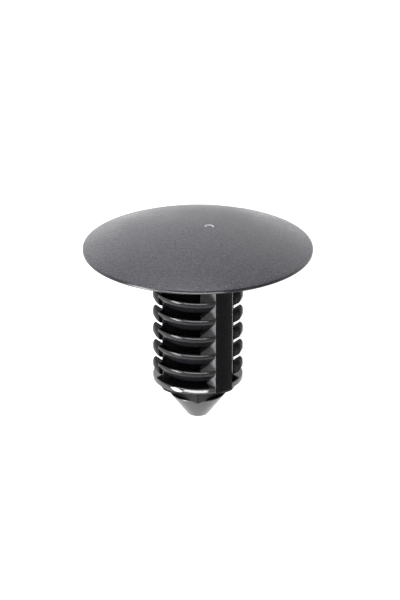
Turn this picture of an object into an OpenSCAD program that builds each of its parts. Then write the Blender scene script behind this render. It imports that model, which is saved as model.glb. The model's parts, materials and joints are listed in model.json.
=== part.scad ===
// Trim clip: a one-piece push-in fastener with a shallow domed head and a
// ribbed shank. The shank is a flat core with a rib across it, slanted
// fins that flare towards the head, and a tip with four flats and a cone.
// It is modelled upright, head on top, and then laid on its side as a
// loose clip comes to rest, on the rim of its head and its last fin.

/* [Head] */
// Diameter of the head
head_d = 20; // [16:0.5:26]
// Thickness of the rim at its edge
rim_t = 0.3; // [0.2:0.05:0.8]
// Rise of the dome above the upper edge of the rim
dome_rise = 2; // [1.4:0.1:3]
// Wall of the head above its hollow underside
head_wall = 1.5; // [1.2:0.1:2]
// Width of the flat seat round the underside
seat_w = 1.6; // [1:0.1:3]
// Diameter of the gate mark on the dome
gate_d = 0.9; // [0.5:0.1:1.4]
// Distance of the gate mark from the axis
gate_x = 1; // [0:0.1:2]
// Depth of the gate mark at the top of the dome
gate_depth = 0.1; // [0.05:0.01:0.2]

/* [Shank] */
// Width of the flat core
core_w = 6.2; // [5.4:0.1:6.8]
// Thickness of the flat core
core_t = 2.6; // [2:0.1:3.2]
// Thickness of the rib that crosses the core
rib_t = 1.75; // [1.2:0.05:2.2]
// Direction of the rib, turned from the core's width
rib_turn = 54; // [45:1:65]
// Diameter of the bare neck under the head
neck_d = 3.6; // [3:0.1:4.4]

/* [Fins] */
// Number of fins
fin_count = 6; // [3:1:6]
// Diameter over the fins
fin_d = 7.86; // [7.4:0.02:9]
// Distance from one fin to the next
fin_pitch = 1.62; // [1.5:0.01:2]
// Depth of the first fin's edge below the rim
fin_start = 3.3; // [3:0.05:5]
// Thickness of a fin at its edge
fin_edge = 0.25; // [0.2:0.01:0.4]
// Thickness of a fin where it leaves the core
fin_root = 0.5; // [0.4:0.05:0.6]
// Slope of a fin above the level
fin_slope = 42; // [30:1:45]
// Diameter at which the fins leave the core
fin_root_d = 3.4; // [3:0.1:4]
// How far the underside of a fin bulges in from its edge
bulge_w = 0.22; // [0.1:0.02:0.4]
// Height of that bulge
bulge_h = 0.42; // [0.3:0.02:0.5]
// Thickness of the lobes that end the fins beside the core
lobe_t = 1.06; // [0.8:0.02:1.2]
// Size of the rounding at a lobe's outer edge
lobe_round = 0.25; // [0.15:0.05:0.35]
// How far the lobes stop in front of the middle
lobe_front = 0.3; // [0:0.05:0.8]

/* [Tip] */
// Height of the round band below the last fin's upper edge
band_h = 0.5; // [0.3:0.05:0.6]
// Length of the upper step of the tip, which has four flat sides
flats_l = 1.35; // [1:0.05:1.8]
// Size of that step across the corners at its lower end
step_d = 6; // [5.6:0.1:6.4]
// Diameter of the round cone where it starts below the flats
cone_d = 5; // [4.6:0.1:5.4]
// Length of the round cone
cone_l = 2.1; // [1.6:0.05:2.6]
// Diameter of the blunt end
end_d = 1.8; // [1.2:0.1:2.4]

/* [Hidden] */
$fn = 96;

joint = 0.05;               // overlap where two volumes of the moulding meet
head_r = head_d / 2;
fin_r = fin_d / 2;
root_r = fin_root_d / 2;
lobe_slope = 28;            // of the slits between the lobes
fin_rise = (fin_r - root_r) * tan(fin_slope);
last_z = -fin_start - (fin_count - 1) * fin_pitch;
band_z = last_z - band_h;
step_z = band_z - flats_l;
end_z = step_z - cone_l;
dome_chord = head_r;
dome_r = (dome_chord * dome_chord + dome_rise * dome_rise) / (2 * dome_rise);
top_z = rim_t + dome_rise;
hollow_chord = head_r - seat_w;
hollow_rise = top_z - head_wall;
hollow_r = (hollow_chord * hollow_chord + hollow_rise * hollow_rise) / (2 * hollow_rise);

// The clip rests on the rim of its head and on the band of the last fin
lie_tilt = atan((head_r - fin_r) / -band_z);
lie_front = end_z * cos(lie_tilt) - end_d / 2 * sin(lie_tilt);
lie_back = head_r * sin(lie_tilt) + rim_t * cos(lie_tilt);

// Half section of the domed head, hollow below
module head_section() {
    difference() {
        union() {
            square([head_r, rim_t]);
            intersection() {
                translate([0, top_z - dome_r]) circle(dome_r, $fn = 256);
                translate([0, rim_t - joint]) square([head_r, dome_rise + joint]);
            }
        }
        intersection() {
            translate([0, hollow_rise - hollow_r]) circle(hollow_r, $fn = 256);
            translate([-joint, -joint]) square([hollow_chord + joint, top_z]);
        }
    }
}

module head() {
    difference() {
        rotate_extrude() head_section();
        translate([gate_x, 0, top_z - gate_depth]) cylinder(d = gate_d, h = gate_d);
    }
}

// One slanted fin, thin at its edge and fuller below it
module fin_section() {
    polygon([
        [fin_r, 0],
        [fin_r, -fin_edge],
        [fin_r - bulge_w, -fin_edge - bulge_h],
        [root_r - joint, -fin_rise - fin_root],
        [root_r - joint, -fin_rise]
    ]);
}

module rows() {
    for (i = [0:fin_count - 1])
        translate([0, 0, -fin_start - i * fin_pitch])
            children();
}

// Section of the lobes beside the core, as steep as the slits between them
module lobe_section() {
    inner_r = core_w / 2 - 4 * joint;
    drop = (fin_r - inner_r) * tan(lobe_slope);
    polygon([
        [fin_r - lobe_round, 0],
        [fin_r - lobe_round / 3, -lobe_round / 2],
        [fin_r, -1.5 * lobe_round],
        [fin_r, lobe_round - lobe_t],
        [fin_r - lobe_round / 2, -lobe_t],
        [inner_r, -lobe_t - drop],
        [inner_r, -drop]
    ]);
}

// The fins run between the core's two edges, from the rib round the front,
// and are short at the back
module fins() {
    intersection() {
        rows() rotate_extrude() fin_section();
        translate([joint - core_w / 2, -fin_d, band_z])
            cube([core_w - 2 * joint, 2 * fin_d, -band_z]);
        translate([0, 0, band_z]) linear_extrude(-band_z) fin_plan();
    }
}

// Free space on the right of the rib, where no fin shows
module fin_plan() {
    rib_dir = [cos(-rib_turn), sin(-rib_turn)];
    difference() {
        circle(fin_r + joint);
        polygon([[0, 0], 2 * fin_r * rib_dir, 2 * fin_r * [1, -core_t / 4 / fin_r]]);
    }
}

// Past the core's edges each fin ends in a thick lobe in front of the middle
module lobes() {
    left_l = 2 * fin_r - lobe_front;
    right_l = core_t / 2 - lobe_front;
    intersection() {
        rows() rotate_extrude() lobe_section();
        translate([0, 0, band_z]) union() {
            translate([2 * joint - core_w / 2 - fin_r, -lobe_front - left_l, 0])
                cube([fin_r, left_l, -band_z]);
            translate([core_w / 2 - 2 * joint, -lobe_front - right_l, 0])
                cube([fin_r, right_l, -band_z]);
        }
    }
}

// Flat core and the rib across it, trimmed to the round of the fins
module core() {
    core_l = -band_z + hollow_rise + joint;
    intersection() {
        translate([0, 0, band_z]) cylinder(r = fin_r, h = core_l);
        union() {
            translate([-core_w / 2, -core_t / 2, band_z]) cube([core_w, core_t, core_l]);
            rotate(-rib_turn)
                translate([-fin_r, -rib_t / 2, band_z]) cube([fin_d, rib_t, core_l]);
        }
    }
    translate([0, 0, band_z]) cylinder(d = neck_d, h = core_l);
}

// One pair of the tip's flat sides
module flat_pair() {
    top_w = (fin_d - 2 * joint) * cos(45);
    end_w = step_d * cos(45);
    rotate([90, 0, 0])
        linear_extrude(2 * fin_d, center = true)
            polygon([
                [-top_w / 2, band_z + joint],
                [top_w / 2, band_z + joint],
                [end_w / 2, step_z],
                [-end_w / 2, step_z]
            ]);
}

// Round band, four flats that meet at corners, and a round cone, blunt at
// its end
module tip() {
    translate([0, 0, band_z]) cylinder(r = fin_r, h = band_h);
    intersection() {
        rotate(45) flat_pair();
        rotate(135) flat_pair();
    }
    translate([0, 0, end_z]) cylinder(d1 = end_d, d2 = cone_d, h = cone_l + joint);
}

module upright_clip() {
    head();
    core();
    fins();
    lobes();
    tip();
}

// Laid down with the tip towards -Y, so that the rim and the band of the
// last fin touch the ground, and centred over the origin
module trim_clip() {
    color([0.13, 0.13, 0.14])
        translate([0, -(lie_front + lie_back) / 2, head_r * cos(lie_tilt)])
            rotate([lie_tilt - 90, 0, 0])
                upright_clip();
}

trim_clip();
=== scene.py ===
# %% [markdown]
# # A black push-in trim clip
# The clip holds a trim panel to a body panel. A shallow domed head covers the
# hole, and a ribbed shank with slanted fins is pushed through it. The real one
# comes out of one mould in one piece. It can't stand on its tip, so it lies on
# the rim of its head and on the band at its last fin, and the camera looks
# down on it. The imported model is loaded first, because it says how large the
# clip is and how it lies.

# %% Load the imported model
import json
import math
import bpy
import bmesh
from mathutils import Matrix, Vector

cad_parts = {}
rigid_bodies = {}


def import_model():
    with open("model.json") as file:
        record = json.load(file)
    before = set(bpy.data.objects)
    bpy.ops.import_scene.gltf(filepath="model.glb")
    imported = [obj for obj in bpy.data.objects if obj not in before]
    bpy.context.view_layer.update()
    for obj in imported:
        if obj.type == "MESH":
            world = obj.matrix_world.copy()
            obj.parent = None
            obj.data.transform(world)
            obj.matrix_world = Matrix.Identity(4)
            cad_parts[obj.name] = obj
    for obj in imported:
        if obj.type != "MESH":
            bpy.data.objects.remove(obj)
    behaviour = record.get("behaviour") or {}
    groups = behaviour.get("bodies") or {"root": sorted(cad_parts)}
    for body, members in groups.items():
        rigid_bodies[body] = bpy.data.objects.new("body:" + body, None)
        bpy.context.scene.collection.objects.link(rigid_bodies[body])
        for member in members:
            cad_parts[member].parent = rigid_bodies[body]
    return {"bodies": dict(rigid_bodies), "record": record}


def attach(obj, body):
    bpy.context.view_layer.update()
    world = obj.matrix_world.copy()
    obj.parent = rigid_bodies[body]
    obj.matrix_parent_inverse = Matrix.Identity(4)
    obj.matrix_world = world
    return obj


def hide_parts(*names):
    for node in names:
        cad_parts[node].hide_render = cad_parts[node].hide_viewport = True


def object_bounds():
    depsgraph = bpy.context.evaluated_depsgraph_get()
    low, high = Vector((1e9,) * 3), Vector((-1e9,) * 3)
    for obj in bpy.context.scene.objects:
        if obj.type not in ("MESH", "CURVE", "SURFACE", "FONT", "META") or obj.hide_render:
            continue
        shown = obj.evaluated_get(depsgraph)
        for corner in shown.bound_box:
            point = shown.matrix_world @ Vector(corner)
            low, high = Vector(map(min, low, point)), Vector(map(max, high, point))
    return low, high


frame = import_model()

packed_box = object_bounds()
print("packed box:", packed_box)

# %% [markdown]
# A clip is easiest to model upright: the axis is Z, the lower edge of the head
# is at zero and the tip points down. The pieces could be turned as objects
# afterwards, but then a pattern on them would turn too. So they are made
# upright in millimetres, and one matrix lays their meshes down. The record's
# seat mount gives that matrix: its axis points along the shank, and it sits on
# the ring round the underside.

# %% From the upright clip to the lying one
MM = 1000            # millimetres in a metre
HEAD_R = 10.0        # radius of the head
SEAT_W = 1.6         # width of the flat ring round the underside

seat = next(m for m in frame["record"]["mounts"] if m["name"] == "seat")
across = Vector((1, 0, 0))
headward = -Vector(seat["axis"]).normalized()
rearward = headward.cross(across)
head_middle = Vector(seat["pos_m"]) - across * (HEAD_R - SEAT_W / 2) / MM
turn = Matrix((across, rearward, headward)).transposed().to_4x4()
LAID_DOWN = Matrix.Translation(head_middle) @ turn @ Matrix.Scale(1 / MM, 4)
tilt = math.atan2(headward.z, headward.y)
print("the axis rises", round(math.degrees(tilt), 2), "degrees towards the head")

# %% [markdown]
# A shape is built in a bmesh, which is only a workbench. It has to become a
# mesh, and the mesh an object, before Blender shows it. A piece's object stays
# where it is made, at the origin, because its place is already in its mesh.
# Every piece of the clip rides on its one body and stands for its one solid.

# %% Helpers from the bench to the scene
def as_mesh(bm, name):
    mesh = bpy.data.meshes.new(name)
    bm.to_mesh(mesh)
    bm.free()
    return mesh

def as_object(mesh, name):
    made = bpy.data.objects.new(name, mesh)
    bpy.context.scene.collection.objects.link(made)
    return made

def finish_piece(bm, name):
    """Lays a piece down, hangs it on the root body and hides the imported solid."""
    bm.transform(LAID_DOWN)
    for face in bm.faces:
        face.smooth = True
    piece = as_object(as_mesh(bm, name), name)
    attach(piece, "root")
    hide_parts("trim_clip")
    print(name, len(piece.data.polygons), "faces")
    return piece

print("the pieces ride on the body", next(iter(frame["bodies"])))

# %% [markdown]
# Most of a moulded clip is turned round one axis, so most pieces start as half
# of their outline. The outline could be a list of points, but then each curve
# would need its own sum. Here a single vertex is drawn along it instead:
# straight moves extrude the vertex, and arcs spin it round a centre.

# %% Helpers that draw an outline and turn it
def only_verts(geom):
    return [v for v in geom if isinstance(v, bmesh.types.BMVert)]

def draw_outline(bm, start, *moves):
    """Draws a line in the XZ plane: ("to", x, z) or ("arc", x, z, degrees, steps)."""
    pen = bm.verts.new((start[0], 0, start[1]))
    for kind, x, z, *rest in moves:
        if kind == "to":
            pen = bmesh.ops.extrude_vert_indiv(bm, verts=[pen])["verts"][0]
            pen.co = (x, 0, z)
        else:
            degrees, steps = rest
            made = bmesh.ops.spin(bm, geom=[pen], cent=(x, 0, z), axis=(0, 1, 0),
                                  angle=math.radians(degrees), steps=steps)
            pen = only_verts(made["geom_last"])[0]
    print("outline with", len(bm.verts), "points")

def turn_outline(bm, steps):
    """Spins the outline once round the axis and closes the seam."""
    bmesh.ops.spin(bm, geom=bm.verts[:] + bm.edges[:], cent=(0, 0, 0), axis=(0, 0, 1),
                   angle=math.tau, steps=steps, use_merge=True)

# %% [markdown]
# No moulded edge is sharp. A mould is cut with round tools and polished, so
# each corner of the plastic has a small radius, and that radius is what
# catches the light. A Bevel modifier could round the finished piece, but here
# the same cut is made in the mesh, where each piece has its own radius. Only
# the edges that turn by more than a few degrees get one. Before that, points
# in one place are merged and the faces are turned outwards.

# %% Helpers that clean a shape and round its edges
SAME_PLACE = 0.0005      # points nearer than this are one point
SHARP = 25               # an edge that turns by more degrees than this is sharp

def clean(bm):
    bmesh.ops.remove_doubles(bm, verts=bm.verts[:], dist=SAME_PLACE)
    bmesh.ops.recalc_face_normals(bm, faces=bm.faces[:])

def round_edges(bm, radius, segments=3, least=SHARP):
    sharp = [e for e in bm.edges if len(e.link_faces) == 2
             and e.calc_face_angle(0) > math.radians(least)]
    bmesh.ops.bevel(bm, geom=sharp, offset=radius, offset_type="OFFSET", affect="EDGES",
                    segments=segments, profile=0.5, material=-1, clamp_overlap=True)
    print(len(sharp), "edges rounded to", radius, "mm")

# %% [markdown]
# The head is a thin cap, about as thick at its edge as a fingernail. Its top
# is part of a large sphere, and its underside is hollowed, so that only a flat
# ring touches the panel. It could be a squashed sphere, but an outline spun
# round the axis gives each of its faces its true curve.

# %% The head
RIM_T = 0.3              # thickness at the edge
DOME_RISE = 2.0          # rise of the dome above the rim
HEAD_WALL = 1.5          # wall above the hollow
DOME_STEPS, HOLLOW_STEPS, HEAD_STEPS = 20, 12, 144
RIM_ROUND, RIM_SHARP = 0.09, 5

top_z = RIM_T + DOME_RISE
hollow_chord = HEAD_R - SEAT_W
hollow_rise = top_z - HEAD_WALL
dome_r = (HEAD_R ** 2 + DOME_RISE ** 2) / (2 * DOME_RISE)
hollow_r = (hollow_chord ** 2 + hollow_rise ** 2) / (2 * hollow_rise)
dome_turn = math.degrees(math.asin(HEAD_R / dome_r))
hollow_turn = math.degrees(math.asin(hollow_chord / hollow_r))

bm = bmesh.new()
draw_outline(bm, (0, top_z),
             ("arc", 0, top_z - dome_r, dome_turn, DOME_STEPS),
             ("to", HEAD_R, 0),
             ("to", hollow_chord, 0),
             ("arc", 0, hollow_rise - hollow_r, -hollow_turn, HOLLOW_STEPS))
turn_outline(bm, HEAD_STEPS)
clean(bm)
round_edges(bm, RIM_ROUND, segments=4, least=RIM_SHARP)
head = finish_piece(bm, "clip_head")

# %% [markdown]
# The plastic enters the mould through a small gate in the middle of the dome,
# and a shallow round dimple stays where it was broken off. The dimple is off
# the axis, so it can't be part of the spin. A blunt cone with its wide end up
# cuts it instead, so that the dimple has a sloping wall.

# %% The cutter for the gate mark
GATE_D, GATE_X, GATE_DEPTH = 0.9, 1.0, 0.1
GATE_SLOPE = 32          # its wall isn't steep, so it catches the far lamp
GATE_ABOVE = 4           # the cutter stands this many depths out of the dome
GATE_STEPS = 48

gate_wall = GATE_DEPTH / math.tan(math.radians(GATE_SLOPE))
gate_middle = (GATE_X, 0, top_z + (GATE_ABOVE - 1) / 2 * GATE_DEPTH)
bm = bmesh.new()
bmesh.ops.create_cone(bm, cap_ends=True, segments=GATE_STEPS,
                      radius1=GATE_D / 2 - gate_wall,
                      radius2=GATE_D / 2 + GATE_ABOVE * gate_wall,
                      depth=(GATE_ABOVE + 1) * GATE_DEPTH,
                      matrix=Matrix.Translation(gate_middle))
bm.transform(LAID_DOWN)
cutter = as_object(as_mesh(bm, "gate"), "gate")
print("the wall of the gate mark is", round(gate_wall, 3), "mm wide")

# %% [markdown]
# A Boolean modifier does the cut. It could stay live, but then the cutter
# would have to stay in the scene too. So its result becomes the head's mesh,
# and the cutter goes.

# %% Cut the gate mark
cut = head.modifiers.new("gate mark", "BOOLEAN")
cut.object = cutter
cut.operation = "DIFFERENCE"
cut.solver = "EXACT"
seen_head = head.evaluated_get(bpy.context.evaluated_depsgraph_get())
cut_mesh = bpy.data.meshes.new_from_object(seen_head)
head.modifiers.clear()
uncut_mesh, head.data = head.data, cut_mesh
bpy.data.meshes.remove(uncut_mesh)
cutter_mesh = cutter.data
bpy.data.objects.remove(cutter)
bpy.data.meshes.remove(cutter_mesh)
print("head after the cut:", len(head.data.polygons), "faces")

# %% [markdown]
# Only the top of the head is etched. The underside and the edge are as the
# tools left them, and the wall of the gate mark gets a pale painted highlight.
# The parts could be painted by hand, but a rule is surer: each face is sorted
# by its place and by how far it faces up, where 1 is straight up and -1 is
# straight down.

# %% Which faces of the head get which finish
ETCHED, UNDERSIDE, PAINTED_HIGHLIGHT, EDGE = range(4)
LEAN_LEAST, LEAN_MOST = 0.3, 0.95        # how far up the gate mark's wall faces
SIDEWAYS = 0.5                           # a face of the rim faces up less than this

upright = LAID_DOWN.inverted()
for face in head.data.polygons:
    where = upright @ face.center
    up = face.normal.dot(headward)
    in_gate = math.hypot(where.x - GATE_X, where.y) < GATE_D / 2
    if in_gate and LEAN_LEAST < up < LEAN_MOST:
        # Painted highlight: the gate mark's wall gets a pale colour that stands for a bright
        # reflection.
        face.material_index = PAINTED_HIGHLIGHT
    elif abs(up) < SIDEWAYS:
        face.material_index = EDGE
    elif up < 0:
        face.material_index = UNDERSIDE
for kind, index in (("etched", ETCHED), ("underside", UNDERSIDE), ("painted_highlight", PAINTED_HIGHLIGHT), ("edge", EDGE)):
    print(kind, sum(f.material_index == index for f in head.data.polygons), "faces")

# %% [markdown]
# The shank's core is a flat bar that runs the whole way from the head to the
# tip. It is the one plain box of the clip, and a cube of size one, stretched
# to the bar's three sizes and then rounded, is the shortest way to it.

# %% The core
CORE_W, CORE_T = 6.2, 2.6
CORE_ROUND = 0.08
BAND_Z = -11.9           # lower edge of the band under the last fin
OVERLAP = 0.05           # how far one volume of the moulding runs into the next

bar_l = hollow_rise + OVERLAP - BAND_Z
bm = bmesh.new()
bmesh.ops.create_cube(bm, size=1, matrix=Matrix.Translation((0, 0, BAND_Z + bar_l / 2))
                      @ Matrix.Diagonal((CORE_W, CORE_T, bar_l, 1)))
round_edges(bm, CORE_ROUND)
core = finish_piece(bm, "clip_core")

# %% [markdown]
# A second bar, the rib, crosses the core at a slant and gives the shank its
# stiffness. Its two narrow faces follow the round of the fins, which a box
# can't do. So it starts as a disc, is cut to a strip by two planes, and is
# then drawn up. Its two flat sides are left a little rough by the mould.

# %% The rib
RIB_T, RIB_TURN = 1.75, 54
RIB_ROUND = 0.06
FIN_R = 3.93             # radius over the fins
RIB_PROUD = 0.02         # so that its round faces don't share the band's surface
RIB_STEPS = 192
FLAT_SIDE = 0.99         # a face this close to the side's direction is the side

def cut_away(bm, point, normal):
    """Cuts by a plane and drops what lies on the side that the normal points to."""
    bmesh.ops.bisect_plane(bm, geom=bm.verts[:] + bm.edges[:] + bm.faces[:],
                           plane_co=point, plane_no=normal, clear_outer=True)

bm = bmesh.new()
bmesh.ops.create_circle(bm, cap_ends=True, radius=FIN_R + RIB_PROUD, segments=RIB_STEPS)
bmesh.ops.translate(bm, verts=bm.verts[:], vec=(0, 0, BAND_Z))
for side in (-1, 1):
    sideways = Matrix.Rotation(math.radians(-RIB_TURN), 3, "Z") @ Vector((0, side, 0))
    cut_away(bm, sideways * RIB_T / 2, sideways)
drawn = bmesh.ops.extrude_face_region(bm, geom=bm.faces[:])
bmesh.ops.translate(bm, verts=only_verts(drawn["geom"]), vec=(0, 0, bar_l))
clean(bm)
round_edges(bm, RIB_ROUND)
# The flat sides get the second slot, whose paler grey is painted light.
for face in bm.faces:
    if abs(face.normal.dot(sideways)) > FLAT_SIDE:
        face.material_index = 1
rib = finish_piece(bm, "clip_rib")

# %% [markdown]
# A round column fills the corners between the core and the rib. It shows as
# the neck under the head, where it runs into the ceiling with a small hollow
# curve, so that the head doesn't break off there. A cylinder would meet the
# ceiling at a sharp corner, so the neck is an outline too, with one arc in it.

# %% The neck
NECK_D, NECK_CURVE = 3.6, 0.5
CURVE_STEPS, NECK_STEPS = 8, 96

neck_r = NECK_D / 2
bar_top = BAND_Z + bar_l
bm = bmesh.new()
draw_outline(bm, (0, BAND_Z),
             ("to", neck_r, BAND_Z),
             ("to", neck_r, bar_top - NECK_CURVE),
             ("arc", neck_r + NECK_CURVE, bar_top - NECK_CURVE, 90, CURVE_STEPS),
             ("to", 0, bar_top))
turn_outline(bm, NECK_STEPS)
clean(bm)
neck = finish_piece(bm, "clip_neck")

# %% [markdown]
# Rows of fins flare out towards the head. They bend inwards as the clip goes
# through the hole and spring back behind the panel. A fin could be a whole
# ring with parts cut out of it. It is simpler to build a row of stretches:
# each section is spun only as far as the real fin reaches, and planes trim its
# ends, which are then closed and rounded.

# %% A helper for one stretch of a fin
STEP_TURN = 3            # degrees from one step of the spin to the next
STRETCH_SHARP = 30       # so the steps themselves stay as they are

def close_cuts(bm):
    bmesh.ops.holes_fill(bm, edges=[e for e in bm.edges if e.is_boundary], sides=0)

def fin_stretch(corners, first, last, cuts, radius):
    """Spins a section from one angle to another and trims it by (point, normal) cuts."""
    bm = bmesh.new()
    section = bm.faces.new([bm.verts.new((x, 0, z)) for x, z in corners])
    bmesh.ops.rotate(bm, verts=section.verts[:], cent=(0, 0, 0),
                     matrix=Matrix.Rotation(math.radians(first), 3, "Z"))
    bmesh.ops.spin(bm, geom=[section] + section.edges[:] + section.verts[:],
                   cent=(0, 0, 0), axis=(0, 0, 1), angle=math.radians(last - first),
                   steps=round(abs(last - first) / STEP_TURN))
    for point, normal in cuts:
        cut_away(bm, point, normal)
        close_cuts(bm)
    clean(bm)
    round_edges(bm, radius, segments=2, least=STRETCH_SHARP)
    print("stretch from", first, "to", last, "degrees:", len(bm.faces), "faces")
    return as_mesh(bm, "stretch")

# %% [markdown]
# The clip has six rows, and the last is no more than the tip's round band. One
# row is modelled, and the others are copies of it further down. An Array
# modifier could copy it as well, but the roots of the lowest row have to stop
# inside the band, so the copies are made in the mesh and cut there together.

# %% A helper that copies a row down the shank
FIN_COUNT, FIN_PITCH, FIN_START = 6, 1.62, 3.3

def fin_rows(name, meshes):
    """Makes one piece of all rows but the last, from the stretches of one row."""
    bm = bmesh.new()
    for mesh in meshes:
        bm.from_mesh(mesh)
        bpy.data.meshes.remove(mesh)
    one_row = bm.verts[:] + bm.edges[:] + bm.faces[:]
    for row in range(1, FIN_COUNT - 1):
        copied = bmesh.ops.duplicate(bm, geom=one_row)
        bmesh.ops.translate(bm, verts=only_verts(copied["geom"]), vec=(0, 0, -row * FIN_PITCH))
    bmesh.ops.translate(bm, verts=bm.verts[:], vec=(0, 0, -FIN_START))
    cut_away(bm, (0, 0, BAND_Z + 2 * OVERLAP), (0, 0, -1))
    close_cuts(bm)
    bmesh.ops.recalc_face_normals(bm, faces=bm.faces[:])
    return finish_piece(bm, name)

print("the rows are", FIN_PITCH, "mm apart, and the first is", FIN_START, "mm below the head")

# %% [markdown]
# A fin is a slanted blade, thin at its edge and fuller below it. In front it
# runs from the rib round to the core's left edge. At the back a short fin
# stands on the core's other face. On the right of the rib there is none. The
# section has five corners, and the angles are counted from the right, so the
# front is at minus 90 degrees.

# %% The fins
FIN_EDGE, FIN_ROOT, FIN_SLOPE = 0.25, 0.5, 42
ROOT_R = 1.65            # inside the neck, so no root hangs free
BULGE_W, BULGE_H = 0.22, 0.42
FIN_ROUND = 0.05
RUN_OUT = 0.35           # the front fins end this far inside the lobes
FRONT_TURN = (-RIB_TURN, -160)           # from the rib to the left lobe
BACK_TURN = (30, 150)

half_w = CORE_W / 2
fin_rise = (FIN_R - ROOT_R) * math.tan(math.radians(FIN_SLOPE))
fin_section = [(FIN_R, 0), (FIN_R, -FIN_EDGE), (FIN_R - BULGE_W, -FIN_EDGE - BULGE_H),
               (ROOT_R, -fin_rise - FIN_ROOT), (ROOT_R, -fin_rise)]
left_edge = ((-half_w, 0, 0), (-1, 0, 0))
right_edge = ((half_w, 0, 0), (1, 0, 0))
run_out = ((-half_w - RUN_OUT, 0, 0), (-1, 0, 0))
front_fin = fin_stretch(fin_section, *FRONT_TURN, [run_out], FIN_ROUND)
back_fin = fin_stretch(fin_section, *BACK_TURN, [left_edge, right_edge], FIN_ROUND)
fins = fin_rows("clip_fins", [front_fin, back_fin])

# %% [markdown]
# Past the core's two edges each fin ends in a thick, round-nosed lobe, and a
# narrow slit divides one lobe from the next. These lobes do the gripping. They
# could be thicker fins, but their slope is that of the slits and not of the
# blades. So they have a section of their own, drawn as a nose with seven
# corners, and the bevel rounds it.

# %% The section of a lobe
LOBE_T, LOBE_ROUND, LOBE_SLOPE = 1.06, 0.25, 28

inner_r = half_w - 4 * OVERLAP
drop = (FIN_R - inner_r) * math.tan(math.radians(LOBE_SLOPE))
lobe_section = [(FIN_R - LOBE_ROUND, 0), (FIN_R - LOBE_ROUND / 3, -LOBE_ROUND / 2),
                (FIN_R, -1.5 * LOBE_ROUND), (FIN_R, LOBE_ROUND - LOBE_T),
                (FIN_R - LOBE_ROUND / 2, -LOBE_T), (inner_r, -LOBE_T - drop),
                (inner_r, -drop)]
print("a slit is", round(FIN_PITCH - LOBE_T, 2), "mm wide")

# %% [markdown]
# The left lobes reach far round to the front, and the right ones are as short
# as the core is thick. On the left a slanted plane trims the inner end, so
# that the lobe narrows to a point where the front fin runs into it.

# %% The lobes at the two sides
LOBE_FRONT = 0.3         # they stop this far in front of the middle
LEFT_ROUND, RIGHT_ROUND = 0.14, 0.18
LEFT_TURN, RIGHT_TURN = (-130, -190), (-40, 10)
INNER_SLANT = (0.923, -0.385, 0)         # 23 degrees off the core's edge

behind = ((0, -LOBE_FRONT, 0), (0, 1, 0))
in_front = ((0, -CORE_T / 2, 0), (0, -1, 0))
left_inner = ((OVERLAP - half_w, -CORE_T / 2, 0), INNER_SLANT)
right_inner = ((half_w - OVERLAP, 0, 0), (-1, 0, 0))
left_lobe = fin_stretch(lobe_section, *LEFT_TURN, [left_inner, behind], LEFT_ROUND)
right_lobe = fin_stretch(lobe_section, *RIGHT_TURN, [right_inner, behind, in_front], RIGHT_ROUND)
lobes = fin_rows("clip_lobes", [left_lobe, right_lobe])

# %% [markdown]
# The tip finds the hole. A short round band is its widest part. Under it four
# flats meet at corners, like a sharpened square pencil, and a round cone with
# a blunt end comes last. All three could be cut from one solid, but each is
# simply a cone: the band has two equal ends, and the flats have four sides.

# %% The tip
BAND_H, FLATS_L, STEP_D = 0.5, 1.35, 6.0
CONE_D, CONE_L, END_D = 5.0, 2.1, 1.8
BAND_ROUND, FLATS_ROUND, POINT_ROUND = 0.1, 0.12, 0.15
CONE_SHARP = 8
BAND_SIDES, FLAT_SIDES, POINT_SIDES = 128, 4, 96

step_z = BAND_Z - FLATS_L
end_z = step_z - CONE_L

def tip_cone(name, low_r, high_r, low_z, high_z, sides, radius):
    bm = bmesh.new()
    bmesh.ops.create_cone(bm, cap_ends=True, segments=sides, radius1=low_r, radius2=high_r,
                          depth=high_z - low_z,
                          matrix=Matrix.Translation((0, 0, (low_z + high_z) / 2)))
    round_edges(bm, radius, segments=4, least=CONE_SHARP)
    return finish_piece(bm, name)

band = tip_cone("clip_band", FIN_R, FIN_R, BAND_Z, BAND_Z + BAND_H,
                BAND_SIDES, BAND_ROUND)
flats = tip_cone("clip_flats", STEP_D / 2, FIN_R, step_z, BAND_Z + OVERLAP,
                 FLAT_SIDES, FLATS_ROUND)
point = tip_cone("clip_point", END_D / 2, CONE_D / 2, end_z, step_z + OVERLAP,
                 POINT_SIDES, POINT_ROUND)

# %% [markdown]
# Every piece is shaded smooth, so the round ones look round. Smooth shading
# alone would make the flat faces look swollen next to their small radii. Sharp
# marks on the edges could stop that, but they would spoil the radii. A
# Weighted Normal modifier lets the large faces set the direction, which is how
# the real plastic takes the light.

# %% Shading
pieces = [head, core, rib, neck, fins, lobes, band, flats, point]
for piece in pieces:
    weighted = piece.modifiers.new("flat faces stay flat", "WEIGHTED_NORMAL")
    weighted.keep_sharp = True
print(len(pieces), "pieces,", sum(len(p.data.polygons) for p in pieces), "faces in all")

# %% [markdown]
# Moulded plastic copies the wall of its mould. Where the wall is etched, it
# leaves a fine matt stipple, and where it is only machined, a shine with faint
# marks. Each finish could have its own nodes, but they all share one effect: a
# fine grain that changes height, gloss and shade a little, and a few specks of
# dust. So it is a node group, built once. Two helpers keep the node work short.

# %% Helpers for nodes
def new_group(name, inputs, outputs):
    """Makes a node group from (label, kind) pairs and returns it with its two ends."""
    group = bpy.data.node_groups.new(name, "ShaderNodeTree")
    for label, kind in inputs:
        group.interface.new_socket(label, in_out="INPUT", socket_type=kind)
    for label, kind in outputs:
        group.interface.new_socket(label, in_out="OUTPUT", socket_type=kind)
    enter = group.nodes.new("NodeGroupInput")
    leave = group.nodes.new("NodeGroupOutput")
    return group, enter.outputs, leave.inputs

def add(tree, kind, links=(), **settings):
    """Adds a node. A link is another node's output or a plain value."""
    node = tree.nodes.new(kind)
    for name, value in settings.items():
        setattr(node, name, value)
    for socket, source in dict(links).items():
        if hasattr(source, "is_output"):
            tree.links.new(source, node.inputs[socket])
        else:
            node.inputs[socket].default_value = source
    return node

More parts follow.
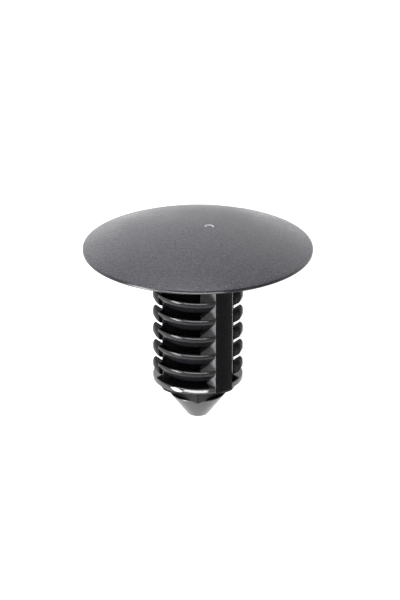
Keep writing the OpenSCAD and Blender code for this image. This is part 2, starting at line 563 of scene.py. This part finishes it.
FLOAT, COLOUR, VECTOR = "NodeSocketFloat", "NodeSocketColor", "NodeSocketVector"
grain, g_in, g_out = new_group(
    "moulded grain",
    [("Place", VECTOR), ("Grain size", FLOAT), ("Colour", COLOUR), ("Mottle", FLOAT),
     ("Dust", FLOAT), ("Gloss low", FLOAT), ("Gloss high", FLOAT)],
    [("Colour", COLOUR), ("Roughness", FLOAT), ("Height", FLOAT)])
print("group made:", grain.name)

# %% [markdown]
# Three noises make the grain. The stipple is the grain itself, a third of a
# millimetre across at most. A slow, cloudy one stands for the way the plastic
# flowed, and a third one, cut off high, leaves only its peaks as dust.
# Scanned pictures could do this too, but noise on the object's own coordinates
# has no seams and follows every face.

# %% The three noises
CLOUDS, SPECKS = 260.0, 2600.0           # how many to the metre
DUST_FROM, DUST_TO = 0.62, 0.72

stipple = add(grain, "ShaderNodeTexNoise", {"Vector": g_in["Place"], "Scale": g_in["Grain size"],
                                            "Detail": 3.0, "Roughness": 0.6})
cloudy = add(grain, "ShaderNodeTexNoise", {"Vector": g_in["Place"], "Scale": CLOUDS,
                                           "Detail": 4.0, "Roughness": 0.55})
specks = add(grain, "ShaderNodeTexNoise", {"Vector": g_in["Place"], "Scale": SPECKS,
                                           "Detail": 2.0, "Roughness": 0.5})
speck_mask = add(grain, "ShaderNodeMapRange", {"Value": specks.outputs["Fac"],
                                               "From Min": DUST_FROM, "From Max": DUST_TO,
                                               "To Max": g_in["Dust"]})
print("the clouds are about", round(MM / CLOUDS, 1), "mm across")

# %% [markdown]
# The noises then change the colour and the gloss. The mottle makes the colour
# darker and paler by the same share on both sides, the clouds add a little,
# and the dust is laid over it. The gloss follows the clouds alone, because the
# stipple already scatters the light through its height.

# %% Colour, gloss and height
UNEVEN = 0.18                            # how much the clouds change the colour
DUST_COLOUR = (0.35, 0.34, 0.33, 1)
MIX_A, MIX_B, MIX_RESULT = 6, 7, 2       # the colour sockets of a Mix node

uneven = add(grain, "ShaderNodeMapRange", {"Value": cloudy.outputs["Fac"],
                                           "From Min": 0.3, "From Max": 0.7,
                                           "To Min": 1 - UNEVEN, "To Max": 1 + UNEVEN})
darkest = add(grain, "ShaderNodeMath", {0: 1.0, 1: g_in["Mottle"]}, operation="SUBTRACT")
palest = add(grain, "ShaderNodeMath", {0: 1.0, 1: g_in["Mottle"]}, operation="ADD")
mottled = add(grain, "ShaderNodeMapRange", {"Value": stipple.outputs["Fac"],
                                            "From Min": 0.35, "From Max": 0.65,
                                            "To Min": darkest.outputs[0],
                                            "To Max": palest.outputs[0]})
shade = add(grain, "ShaderNodeMath", {0: uneven.outputs[0], 1: mottled.outputs[0]},
            operation="MULTIPLY")
shaded = add(grain, "ShaderNodeVectorMath", {0: g_in["Colour"], "Scale": shade.outputs[0]},
             operation="SCALE")
dusty = add(grain, "ShaderNodeMix", {"Factor": speck_mask.outputs[0],
                                     MIX_A: shaded.outputs[0], MIX_B: DUST_COLOUR},
            data_type="RGBA")
gloss = add(grain, "ShaderNodeMapRange", {"Value": cloudy.outputs["Fac"],
                                          "From Min": 0.3, "From Max": 0.7,
                                          "To Min": g_in["Gloss low"],
                                          "To Max": g_in["Gloss high"]})
grain.links.new(dusty.outputs[MIX_RESULT], g_out["Colour"])
grain.links.new(gloss.outputs[0], g_out["Roughness"])
grain.links.new(stipple.outputs["Fac"], g_out["Height"])
print(len(grain.nodes), "nodes in", grain.name)

# %% [markdown]
# Each finish is the same plastic with its own grain, so one function makes
# them all. The grain feeds the colour, the roughness and a Bump node, whose
# distance is the depth of the grain in metres. Gloss that is the same all over
# needs no nodes, so it goes on the shader's own socket.

# %% A helper for the finishes
PLASTIC_IOR = 1.5

def plastic(name, colour, mottle, grain_size, depth, gloss, dust, shine):
    """A finish. Gloss is the least and the most roughness, shine the specular level."""
    material = bpy.data.materials.new(name)
    material.use_nodes = True
    tree = material.node_tree
    shader = tree.nodes["Principled BSDF"]
    place = add(tree, "ShaderNodeTexCoord")
    effect = add(tree, "ShaderNodeGroup", node_tree=grain)
    for socket, value in (("Grain size", grain_size), ("Colour", (*colour, 1)),
                          ("Mottle", mottle), ("Dust", dust),
                          ("Gloss low", gloss[0]), ("Gloss high", gloss[1])):
        effect.inputs[socket].default_value = value
    tree.links.new(place.outputs["Object"], effect.inputs["Place"])
    relief = add(tree, "ShaderNodeBump", {"Strength": 1.0, "Distance": depth,
                                          "Height": effect.outputs["Height"]})
    tree.links.new(effect.outputs["Colour"], shader.inputs["Base Color"])
    tree.links.new(effect.outputs["Roughness"], shader.inputs["Roughness"])
    tree.links.new(relief.outputs["Normal"], shader.inputs["Normal"])
    shader.inputs["IOR"].default_value = PLASTIC_IOR
    shader.inputs["Specular IOR Level"].default_value = shine
    print("finish made:", name)
    return material

# %% [markdown]
# The head is etched and mottled, and the grain shows as a soft sparkle. The
# core and the fins are machined and shine. The rib's round faces, the lobes
# and the flats shine less, as from a duller part of the mould. The band and
# the cone are polished to slide, and the rim lies between the two. All but the
# etched one are nearly black. They could share one finish, but then the rib
# would shine like the band, so each has its own gloss.

# %% The black finishes
BLACK = (0.006, 0.006, 0.007)

etched = plastic("etched black plastic", (0.031, 0.032, 0.044), mottle=0.9,
                 grain_size=6500.0, depth=0.00004, gloss=(0.26, 0.36), dust=0.02, shine=0.45)
machined = plastic("machined black plastic", BLACK, mottle=0.2,
                   grain_size=3000.0, depth=0.00001, gloss=(0.12, 0.22), dust=0.015, shine=0.22)
polished = plastic("polished black plastic", BLACK, mottle=0.2,
                   grain_size=3000.0, depth=0.000003, gloss=(0.1, 0.16), dust=0.015, shine=0.75)
satin = plastic("satin black plastic", (0.004, 0.004, 0.0045), mottle=0.2,
                grain_size=3000.0, depth=0.00001, gloss=(0.3, 0.4), dust=0.01, shine=0.04)
edge = plastic("edge black plastic", BLACK, mottle=0.2,
               grain_size=3000.0, depth=0.00001, gloss=(0.16, 0.26), dust=0.015, shine=0.3)

# %% [markdown]
# Two finishes are paler, and both paler colours are painted light. The rib's
# flat sides are rough, and their grey colour is painted light that stands for
# the lamp light caught between the fins. The pale wall of the gate mark is a
# painted highlight. A pale colour could be painted there, but as a finish of
# its own it keeps its grain.

# %% The pale finishes, which are painted light
# Painted light: the grey of the rib's sides stands for lamp light caught between the fins.
painted_light_sides = plastic("rib side plastic with painted light", (0.082, 0.082, 0.086), mottle=0.4,
                      grain_size=7000.0, depth=0.00002, gloss=(0.45, 0.6), dust=0.03, shine=0.5)
# Painted highlight: the pale colour of the gate mark's wall stands for a bright reflection.
painted_highlight = plastic("torn plastic", (0.5, 0.5, 0.51), mottle=0.3,
               grain_size=9000.0, depth=0.00002, gloss=(0.5, 0.6), dust=0.0, shine=0.5)

# %% [markdown]
# A mesh keeps its finishes in numbered slots, and each face has the number of
# its slot. Most pieces need one. The head has the four that its faces were
# sorted into, in the same order, and the rib has a second one for its sides,
# whose paler colour is painted light.

# %% Which piece gets which finish
own_finish = {head: etched, rib: satin, lobes: satin, band: polished, flats: satin,
              point: polished}
for piece in pieces:
    piece.data.materials.append(own_finish.get(piece, machined))
for finish in (machined, painted_highlight, edge):
    head.data.materials.append(finish)
rib.data.materials.append(painted_light_sides)
for piece in pieces:
    print(piece.name, "has", ", ".join(m.name for m in piece.data.materials))

# %% [markdown]
# The clip lies on a plain white table. A table lit to pure white would need so
# much light that the clip would turn grey. So the table glows a little, but
# only for what the camera sees or a gloss reflects, and it still darkens where
# the clip shades it.

# %% A helper that makes a surface brighter when it is seen
def brighter_when_seen(tree, unseen, seen):
    """A strength that is higher for what the camera sees or a gloss reflects."""
    rays = add(tree, "ShaderNodeLightPath")
    direct = add(tree, "ShaderNodeMath", {0: rays.outputs["Is Camera Ray"],
                                          1: rays.outputs["Is Glossy Ray"]}, operation="MAXIMUM")
    either = add(tree, "ShaderNodeMath", {0: direct.outputs[0],
                                          1: rays.outputs["Is Transmission Ray"]},
                 operation="MAXIMUM")
    strength = add(tree, "ShaderNodeMapRange", {"Value": either.outputs[0],
                                                "To Min": unseen, "To Max": seen})
    print("strength", unseen, "is seen as", seen)
    return strength.outputs[0]

# %% [markdown]
# The table itself is one large flat face under the clip, at the height of the
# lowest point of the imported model.

# %% The table
TABLE_HALF = 0.6         # half of its width
TABLE_GREY, TABLE_ROUGH, TABLE_GLOW = 0.5, 0.9, 0.8

bm = bmesh.new()
bmesh.ops.create_grid(bm, x_segments=1, y_segments=1, size=TABLE_HALF)
table = as_object(as_mesh(bm, "table"), "table")
table.location.z = packed_box[0][2]
white = bpy.data.materials.new("white table")
white.use_nodes = True
shader = white.node_tree.nodes["Principled BSDF"]
shader.inputs["Base Color"].default_value = (TABLE_GREY, TABLE_GREY, TABLE_GREY, 1)
shader.inputs["Roughness"].default_value = TABLE_ROUGH
shader.inputs["Emission Color"].default_value = (1, 1, 1, 1)
glow = brighter_when_seen(white.node_tree, 0.0, TABLE_GLOW)
white.node_tree.links.new(glow, shader.inputs["Emission Strength"])
table.data.materials.append(white)
print("the table is", 2 * TABLE_HALF, "m wide")

# %% [markdown]
# A soft white room lights the clip a little from all round. It is seen as
# white, but it gives less light than that, so that the lamps and not the room
# make the shading.

# %% The room
ROOM_LIGHT, ROOM_SEEN = 0.18, 1.0

world = bpy.data.worlds.new("soft room")
bpy.context.scene.world = world
world.use_nodes = True
background = world.node_tree.nodes["Background"]
background.inputs["Color"].default_value = (1, 1, 1, 1)
world.node_tree.links.new(brighter_when_seen(world.node_tree, ROOM_LIGHT, ROOM_SEEN),
                          background.inputs["Strength"])
print("room made:", world.name)

# %% [markdown]
# Black plastic shows little of its own colour. What shows its shape is the
# reflection of the lamps, so each one is a soft box that is placed for what it
# draws. One stands high on the left and reaches in between the fins, and a
# small one beyond the head lights the gate mark. A wide one in front and a low
# one on the left draw the bright lines along the rim, the fins and the band.

# %% The lamps
CLIP_MIDDLE = Vector((0, 0, 0.009))      # every lamp is turned to it

def softbox(name, place, width, height, power):
    lamp = bpy.data.lights.new(name, "AREA")
    lamp.shape = "RECTANGLE"
    lamp.size = width
    lamp.size_y = height
    lamp.energy = power
    holder = as_object(lamp, name)
    holder.location = place
    holder.rotation_euler = (Vector(place) - CLIP_MIDDLE).to_track_quat("Z", "Y").to_euler()
    print(name, "gives", power, "W")

softbox("left lamp", (-0.315, 0.035, 0.33), width=0.2, height=0.2, power=1.4)
softbox("far lamp", (-0.03, 0.42, 0.18), width=0.14, height=0.14, power=0.8)
softbox("near lamp", (-0.04, -0.365, 0.30), width=0.5, height=0.14, power=3.2)
softbox("low left lamp", (-0.33, -0.25, 0.12), width=0.2, height=0.14, power=2.6)

# %% [markdown]
# The camera stands far back with a long lens, as for a catalogue. Close up,
# the far end of the shank would look narrower, and here its lines stay
# parallel. The camera sees the plane of the head at 22.7 degrees, and it aims
# a little below the head, so that the whole clip is in the middle.

# %% The camera
VIEW_ANGLE = math.radians(22.7)
DISTANCE = 0.5           # from the clip, in metres
VIEW_H = 0.052           # height of the view at the clip
SENSOR = 36
AIM_RIGHT, AIM_DOWN = 0.00019, 0.00429   # from the middle of the head

lens_tilt = tilt - VIEW_ANGLE
towards_camera = Vector((0, -math.sin(lens_tilt), math.cos(lens_tilt)))
image_up = Vector((0, math.cos(lens_tilt), math.sin(lens_tilt)))
aim = head_middle + across * AIM_RIGHT - image_up * AIM_DOWN

camera_data = bpy.data.cameras.new("camera")
camera_data.sensor_width = SENSOR
camera_data.lens = SENSOR * DISTANCE / VIEW_H
camera = as_object(camera_data, "camera")
camera.location = aim + towards_camera * DISTANCE
camera.rotation_euler = (lens_tilt, 0, 0)
bpy.context.scene.camera = camera
bpy.context.scene.view_settings.view_transform = "Standard"
print("lens:", round(camera_data.lens), "mm")
